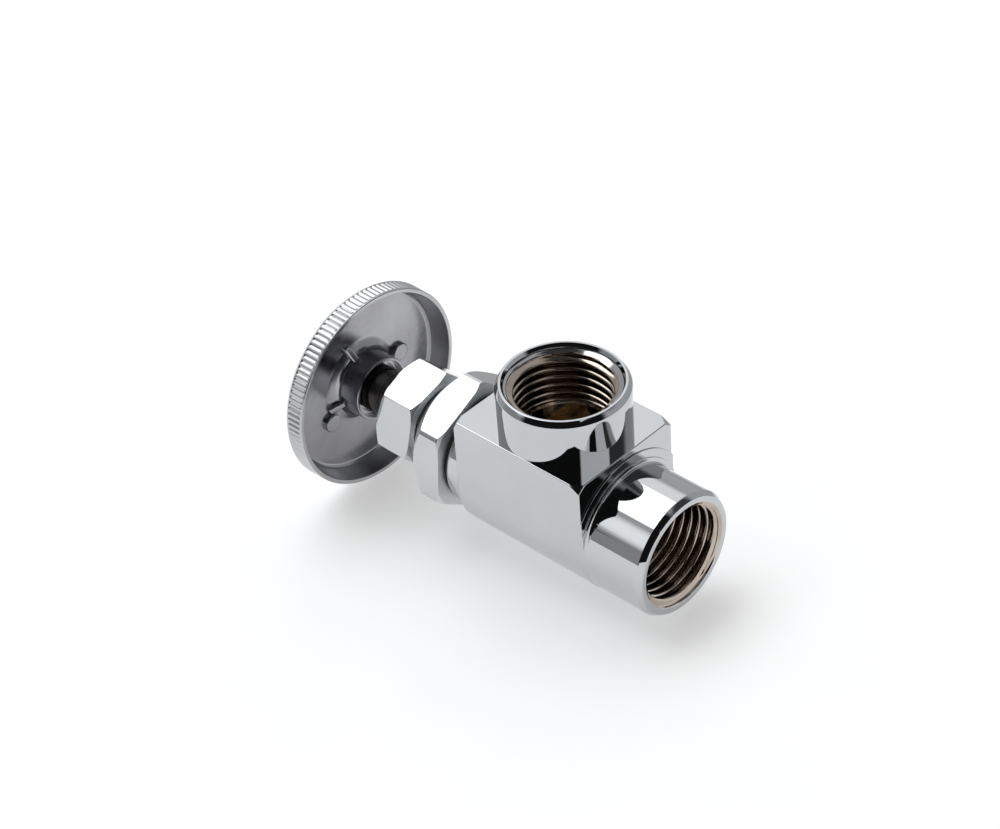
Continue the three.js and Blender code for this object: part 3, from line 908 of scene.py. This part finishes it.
def handle():
    """Wheel with a reeded rim and a hub in its hollow back."""
    wheel = revolve("wheel", band_points(handle_outline()), closed=True, sides=REEDS * 8,
                    swell=splined_mouth)
    join(wheel, floor_boss(2), floor_boss(212), floor_rib(107), floor_rib(197))
    paint_handle(wheel)
    return place(wheel, "wheel_handle", "stem_and_handle", ["handle"])


def handle_fastening():
    """Washer and cross-slotted screw in the middle of the wheel's outer face."""
    ring_piece("screw_washer", "handle_screw_washer", "stem_and_handle", "steel",
               -56.7, -56.2, 2.3, 3.7, 0.1)
    head_radius, shank, head_inside = 3.9, 1.9, -56.9
    screw = revolve("screw", eased([
        (-58.9, 0), (-58.9, 1.2), (-58.7, 2.4, 2.0), (-58.1, 3.5, 1.0), (-57.3, head_radius, 0.2),
        (head_inside, head_radius, 0.1), (head_inside, shank), (-46, shank, 0.3), (-46, 0),
    ]), sides=128)
    half_width, half_length = 0.42, 2.1
    for y, z in ((half_width, half_length), (half_length, half_width)):
        cut(screw, block("cross", (-60, -y, -z), (-57.8, y, z)))
    place(paint(screw, "steel"), "handle_fastener", "stem_and_handle", ["handle_screw"])


# ---- Studio ----

# Directions are an azimuth (0 towards -y, 90 towards +x) and an elevation, in degrees.
CAMERA = {
    "azimuth": 48.651, "elevation": 34.479, "roll": -9.325,
    "distance": 0.514342, "aim": (-0.002605, 0.001508, 0.025958), "lens": 98.18,
}
ROOM_LEVEL = 0.5
# Panels: direction of the centre, direction of the upper side, half width, half height,
# softness of the edge, and brightness.
DIM_PANEL = ((-38, 10), (0, 90), 0.3, 0.5, 0.3, 0.35)
SOFTBOXES = (
    ((92, 33), (0, 90), 0.34, 0.1, 0.05, 1.0),
    ((-98, 65), (88, 24), 0.47, 0.24, 0.05, 2.6),
)
# Spots: azimuth, elevation, inner and outer radius in degrees, and brightness.
STUDIO_SPOTS = (
    (-110, 25, 10, 30, 0.45),
    (-145, 5, 15, 30, 0.55),
    (-143, 43, 8, 20, 1.15),
    (172, 45, 12, 28, 0.5),
    (42, 12, 58, 70, 0.01),
    (100, 84, 12, 22, 0.05),
    (130, 34, 14, 26, 0.06),
    (-33, 36, 2, 17, 1.3),
)
SUN_DIRECTION = (-0.45, 0.25, 0.86)


def heading(azimuth, elevation):
    """Unit vector of a direction given in degrees."""
    azimuth, elevation = math.radians(azimuth), math.radians(elevation)
    level = math.cos(elevation)
    return Vector((math.sin(azimuth) * level, -math.cos(azimuth) * level, math.sin(elevation)))


def make_camera():
    """Camera at the photo's angle, with the photo's slight roll."""
    back = heading(CAMERA["azimuth"], CAMERA["elevation"])
    data = bpy.data.cameras.new("camera")
    data.lens = CAMERA["lens"]
    data.sensor_width = 36.0
    data.clip_start = 0.01
    camera = bpy.data.objects.new("camera", data)
    camera.rotation_mode = "QUATERNION"
    camera.location = Vector(CAMERA["aim"]) + back * CAMERA["distance"]
    level = back.to_track_quat("Z", "Y")
    roll = Matrix.Rotation(math.radians(CAMERA["roll"]), 4, back)
    camera.rotation_quaternion = (roll @ level.to_matrix().to_4x4()).to_quaternion()
    bpy.context.scene.collection.objects.link(camera)
    bpy.context.scene.camera = camera


def make_floor():
    """White table, lit partly from below so that the shadows stay light."""
    mesh = bpy.data.meshes.new("floor")
    reach, glow_strength = 3.0, 0.68
    corners = [(-reach, -reach, 0), (reach, -reach, 0), (reach, reach, 0), (-reach, reach, 0)]
    mesh.from_pydata(corners, [], [(0, 1, 2, 3)])
    floor = bpy.data.objects.new("floor", mesh)
    bpy.context.scene.collection.objects.link(floor)
    floor.location.z = -0.0001
    shader = Shader("floor_paper")
    paper = shader.noise(40.0, 4.0)
    pale = shader.ramp(paper, (0.65, 0.65, 0.652), (0.66, 0.66, 0.662))
    glow = shader.dimmed_behind(pale)
    shader.link(glow, shader.surface.inputs["Base Color"])
    shader.link(glow, shader.surface.inputs["Emission Color"])
    shader.surface.inputs["Emission Strength"].default_value = glow_strength
    shader.set(roughness=0.95, specular=0.1)
    mesh.materials.append(shader.material)


class Sky:
    """Studio surroundings as a function of direction."""

    def __init__(self):
        self.world = bpy.data.worlds.new("studio")
        bpy.context.scene.world = self.world
        self.world.use_nodes = True
        self.tree = self.world.node_tree
        self.tree.nodes.clear()
        self.direction = self.tree.nodes.new("ShaderNodeTexCoord").outputs["Generated"]

    def feed(self, value, socket):
        """Sets a socket to a number, or links another node's output to it."""
        if isinstance(value, (int, float)):
            socket.default_value = value
        else:
            self.tree.links.new(value, socket)

    def math(self, operation, *values):
        node = self.tree.nodes.new("ShaderNodeMath")
        node.operation = operation
        for socket, value in zip(node.inputs, values):
            self.feed(value, socket)
        return node.outputs[0]

    def towards(self, axis):
        """Cosine of the angle to an axis."""
        node = self.tree.nodes.new("ShaderNodeVectorMath")
        node.operation = "DOT_PRODUCT"
        node.inputs[1].default_value = axis
        self.tree.links.new(self.direction, node.inputs[0])
        return node.outputs["Value"]

    def smooth(self, value, low, high):
        """0 up to low and 1 from high on, with a soft change between them."""
        node = self.tree.nodes.new("ShaderNodeMapRange")
        node.interpolation_type = "SMOOTHSTEP"
        node.inputs["From Min"].default_value = low
        node.inputs["From Max"].default_value = high
        self.tree.links.new(value, node.inputs["Value"])
        return node.outputs["Result"]

    def panel(self, forward, up, width, height, edge):
        """1 inside a rectangular panel seen in the forward direction, 0 outside."""
        right = forward.cross(up).normalized()
        top = right.cross(forward)
        depth = self.math("MAXIMUM", self.towards(forward), 0.02)
        across = self.math("ABSOLUTE", self.math("DIVIDE", self.towards(right), depth))
        rise = self.math("ABSOLUTE", self.math("DIVIDE", self.towards(top), depth))
        inside = self.math(
            "MULTIPLY",
            self.smooth(across, width + edge, width),
            self.smooth(rise, height + edge, height),
        )
        ahead = self.smooth(self.towards(forward), 0.02, 0.1)
        return self.math("MULTIPLY", inside, ahead)

    def spot(self, centre, inner, outer):
        """1 within inner degrees of centre, 0 beyond outer degrees."""
        facing = self.towards(centre)
        return self.smooth(facing, math.cos(math.radians(outer)), math.cos(math.radians(inner)))

    def over(self, base, mask, value):
        """base where the mask is 0, value where it is 1."""
        node = self.tree.nodes.new("ShaderNodeMix")
        node.data_type = "FLOAT"
        self.tree.links.new(mask, node.inputs["Factor"])
        self.feed(base, node.inputs["A"])
        self.feed(value, node.inputs["B"])
        return node.outputs["Result"]

    def background(self, colour, strength):
        """Light of one colour. The strength is a number or a node's output."""
        node = self.tree.nodes.new("ShaderNodeBackground")
        node.inputs["Color"].default_value = (*colour, 1.0)
        self.feed(strength, node.inputs["Strength"])
        return node.outputs[0]


def make_studio():
    """Softboxes, dark gaps and the room, each where its reflection is seen in the chrome."""
    sky = Sky()

    def with_panel(level, centre, upper_side, width, height, edge, value):
        """Brightness with one more panel laid over it."""
        mask = sky.panel(heading(*centre), heading(*upper_side), width, height, edge)
        return sky.over(level, mask, value)

    level = with_panel(ROOM_LEVEL, *DIM_PANEL)
    for azimuth, elevation, inner, outer, value in STUDIO_SPOTS:
        level = sky.over(level, sky.spot(heading(azimuth, elevation), inner, outer), value)
    for softbox in SOFTBOXES:
        level = with_panel(level, *softbox)
    lamp = sky.background((0.97, 0.985, 1.0), level)
    backdrop = sky.background((1.0, 1.0, 1.0), 1.0)
    seen = sky.tree.nodes.new("ShaderNodeLightPath").outputs["Is Camera Ray"]
    mixed = sky.tree.nodes.new("ShaderNodeMixShader")
    for source, socket in zip((seen, lamp, backdrop), mixed.inputs):
        sky.tree.links.new(source, socket)
    output = sky.tree.nodes.new("ShaderNodeOutputWorld")
    sky.tree.links.new(mixed.outputs[0], output.inputs["Surface"])


def make_lights():
    """Wide overhead light that is not itself seen in the chrome."""
    data = bpy.data.lights.new("soft_sun", "SUN")
    data.energy = 1.0
    data.angle = math.radians(75)
    sun = bpy.data.objects.new("soft_sun", data)
    sun.rotation_mode = "QUATERNION"
    sun.rotation_quaternion = Vector(SUN_DIRECTION).to_track_quat("Z", "Y")
    sun.visible_glossy = False
    bpy.context.scene.collection.objects.link(sun)


make_camera()
make_floor()
make_studio()
make_lights()
bpy.context.scene.view_settings.view_transform = "Standard"

valve_body()
bonnet()
packing_nut()
packing()
stem()
washer_parts()
handle()
handle_fastening()
